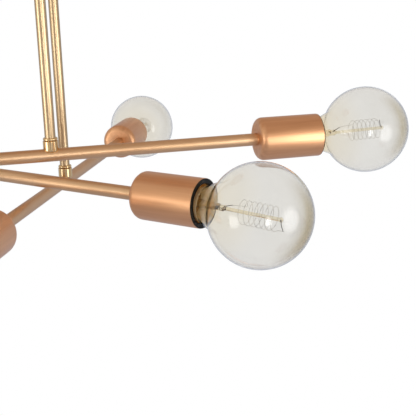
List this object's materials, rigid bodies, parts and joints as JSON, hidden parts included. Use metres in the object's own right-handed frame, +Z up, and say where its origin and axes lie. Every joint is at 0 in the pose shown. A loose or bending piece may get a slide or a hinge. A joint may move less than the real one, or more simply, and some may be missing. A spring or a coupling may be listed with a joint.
{
  "type": "semi-flush ceiling light",
  "caption": "Semi-flush ceiling light: straight tube arms at stepped heights swivel on drop rods under a round canopy, with a socket cup and clear globe lamp at each arm's ends.",
  "frame": {"origin": "middle of the strap's top face, in the plane of the ceiling", "axes": "+Z up into the ceiling, -Y towards the viewer of the picture, +X to the viewer's right"},
  "size_m": [0.7898, 0.7454, 0.421],
  "materials": {
    "satin_brass": "satin brushed copper-brass",
    "rod_brass": "satin pale brass",
    "bright_brass": "polished",
    "zinc_steel": "zinc plated",
    "black_plastic": "moulded black",
    "contact_brass": "plain",
    "amber_glass": "clear, faint amber tint",
    "cap_brass": "plain",
    "stem_glass": "clear",
    "filament_wire": "dark wire"
  },
  "bodies": {
    "ceiling_frame": {"canopy": "satin_brass", "ceiling_strap": "zinc_steel", "canopy_screws": "bright_brass", "rod_nuts": "zinc_steel", "rod_collars": "bright_brass", "swivel_spindles": "bright_brass", "swivel_nuts": "zinc_steel", "rod_a": "rod_brass", "rod_b": "rod_brass", "rod_c": "rod_brass"},
    "arm_a_set": {"arm_a": "satin_brass", "swivel_body_a": "bright_brass", "cup_nuts_a": "zinc_steel", "contacts_a": "contact_brass", "cup_a_long": "satin_brass", "holder_a_long": "black_plastic", "cup_a_short": "satin_brass", "holder_a_short": "black_plastic"},
    "arm_b_set": {"arm_b": "satin_brass", "swivel_body_b": "bright_brass", "cup_nuts_b": "zinc_steel", "contacts_b": "contact_brass", "cup_b_long": "satin_brass", "holder_b_long": "black_plastic", "cup_b_short": "satin_brass", "holder_b_short": "black_plastic"},
    "arm_c_set": {"arm_c": "satin_brass", "swivel_body_c": "bright_brass", "cup_nuts_c": "zinc_steel", "contacts_c": "contact_brass", "cup_c_long": "satin_brass", "holder_c_long": "black_plastic", "cup_c_short": "satin_brass", "holder_c_short": "black_plastic"},
    "lamp_a_long": {"lamp_glass_a_long": "amber_glass", "lamp_cap_a_long": "cap_brass", "lamp_stem_a_long": "stem_glass", "lamp_filament_a_long": "filament_wire"},
    "lamp_a_short": {"lamp_glass_a_short": "amber_glass", "lamp_cap_a_short": "cap_brass", "lamp_stem_a_short": "stem_glass", "lamp_filament_a_short": "filament_wire"},
    "lamp_b_long": {"lamp_glass_b_long": "amber_glass", "lamp_cap_b_long": "cap_brass", "lamp_stem_b_long": "stem_glass", "lamp_filament_b_long": "filament_wire"},
    "lamp_b_short": {"lamp_glass_b_short": "amber_glass", "lamp_cap_b_short": "cap_brass", "lamp_stem_b_short": "stem_glass", "lamp_filament_b_short": "filament_wire"},
    "lamp_c_long": {"lamp_glass_c_long": "amber_glass", "lamp_cap_c_long": "cap_brass", "lamp_stem_c_long": "stem_glass", "lamp_filament_c_long": "filament_wire"},
    "lamp_c_short": {"lamp_glass_c_short": "amber_glass", "lamp_cap_c_short": "cap_brass", "lamp_stem_c_short": "stem_glass", "lamp_filament_c_short": "filament_wire"}
  },
  "joints": [
    {"name": "swivel_a", "type": "hinge", "parent": "ceiling_frame", "child": "arm_a_set", "pos_m": [0.03, -0.05196, -0.32], "axis": [0, 0, 1], "range_deg": [-10, 20]},
    {"name": "swivel_b", "type": "hinge", "parent": "ceiling_frame", "child": "arm_b_set", "pos_m": [-0.06, 0, -0.346], "axis": [0, 0, 1], "range_deg": [-16, 14]},
    {"name": "swivel_c", "type": "hinge", "parent": "ceiling_frame", "child": "arm_c_set", "pos_m": [0.03, 0.05196, -0.372], "axis": [0, 0, 1], "range_deg": [-18, 12]},
    {"name": "lamp_a_long_out", "type": "slide", "parent": "arm_a_set", "child": "lamp_a_long", "axis": [0.9781, 0.2079, 0], "range_m": [0, 0.03]},
    {"name": "lamp_a_short_out", "type": "slide", "parent": "arm_a_set", "child": "lamp_a_short", "axis": [-0.9781, -0.2079, 0], "range_m": [0, 0.03]},
    {"name": "lamp_b_long_out", "type": "slide", "parent": "arm_b_set", "child": "lamp_b_long", "axis": [0.8241, -0.5664, 0], "range_m": [0, 0.03]},
    {"name": "lamp_b_short_out", "type": "slide", "parent": "arm_b_set", "child": "lamp_b_short", "axis": [-0.8241, 0.5664, 0], "range_m": [0, 0.03]},
    {"name": "lamp_c_long_out", "type": "slide", "parent": "arm_c_set", "child": "lamp_c_long", "axis": [0.2334, 0.9724, 0], "range_m": [0, 0.03]},
    {"name": "lamp_c_short_out", "type": "slide", "parent": "arm_c_set", "child": "lamp_c_short", "axis": [-0.2334, -0.9724, 0], "range_m": [0, 0.03]}
  ]
}
